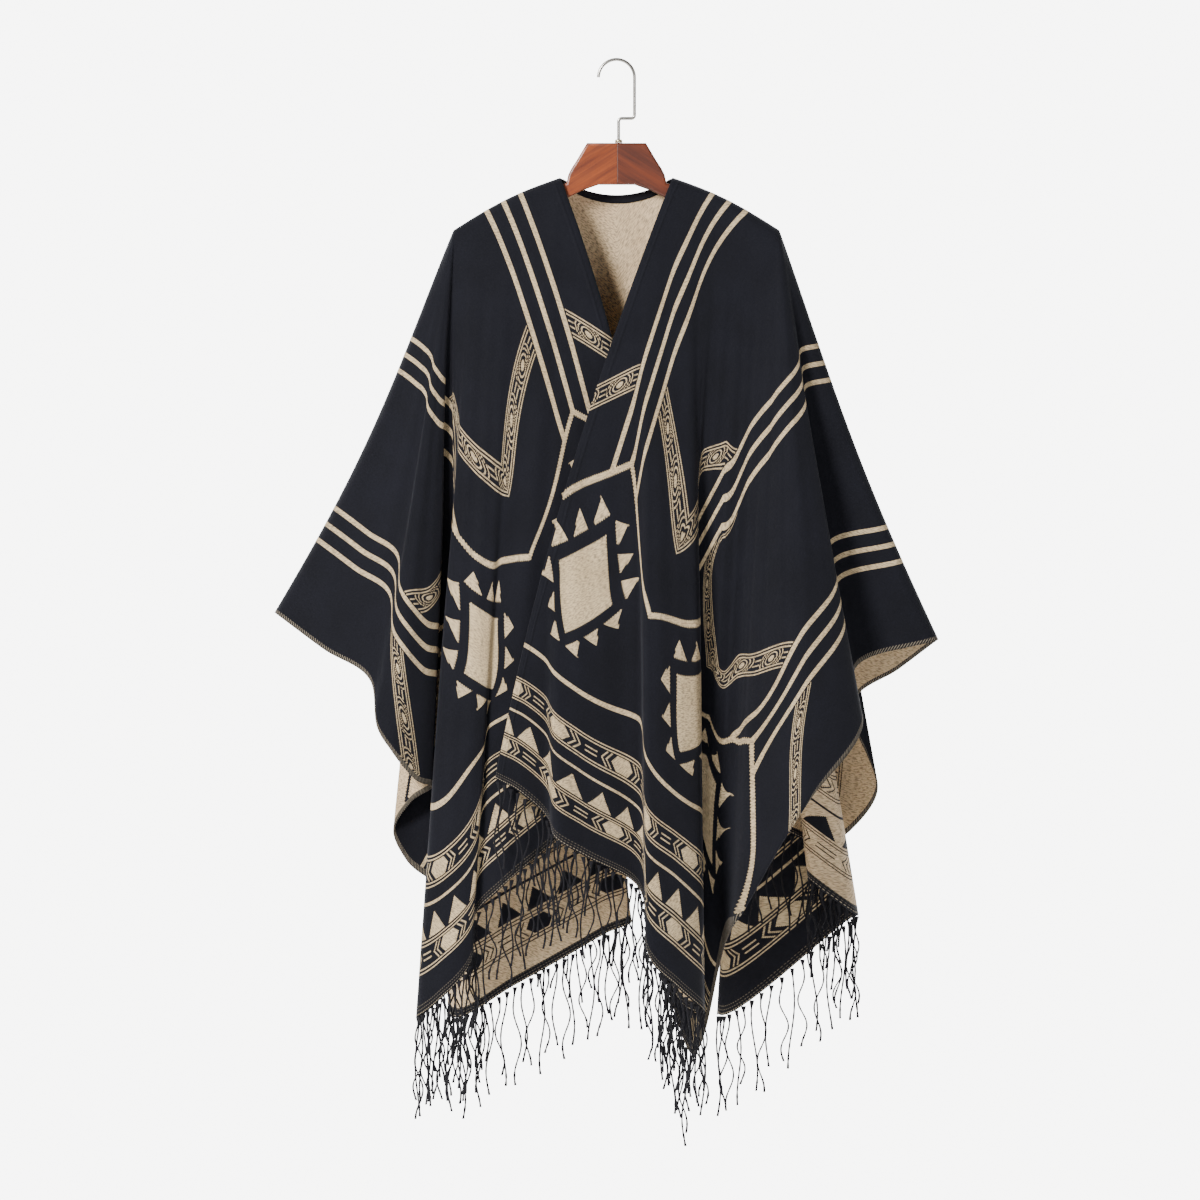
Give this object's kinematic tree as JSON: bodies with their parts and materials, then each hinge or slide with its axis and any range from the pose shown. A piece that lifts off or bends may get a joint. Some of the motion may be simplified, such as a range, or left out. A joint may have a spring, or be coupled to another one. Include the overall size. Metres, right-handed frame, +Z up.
{
  "type": "open-front woven poncho wrap on a hanger",
  "caption": "Open-front blanket wrap of two-faced woven cloth with geometric motifs, fringed hems and open sides, hung over the arms of a wooden hanger with a metal hook.",
  "frame": {"origin": "point where the hook hangs on its rail, inside the top of the hook's bend", "axes": "+Z up, -Y towards the viewer who faces the fronts, +X to that viewer's right"},
  "size_m": [0.8128, 0.2974, 1.3223],
  "materials": {
    "woven_cloth": "two-faced woven cloth, navy with beige motifs outside, beige with navy motifs inside",
    "edge_tape": "matt navy binding",
    "fringe_yarn": "twisted black yarn with knots",
    "hanger_wood": "varnished reddish brown, lighter on one half",
    "hook_steel": "polished wire",
    "ferrule_brass": "satin"
  },
  "bodies": {
    "root": {"cloth_front_right": "woven_cloth", "tape_front_right": "edge_tape", "cloth_front_left": "woven_cloth", "tape_front_left": "edge_tape", "cloth_back": "woven_cloth", "tape_neck": "edge_tape", "fringe_front_right": "fringe_yarn", "fringe_front_left": "fringe_yarn", "fringe_back_right": "fringe_yarn", "fringe_back_left": "fringe_yarn", "hanger_wood": "hanger_wood", "hanger_hook": "hook_steel", "hanger_ferrule": "ferrule_brass"}
  },
  "joints": []
}
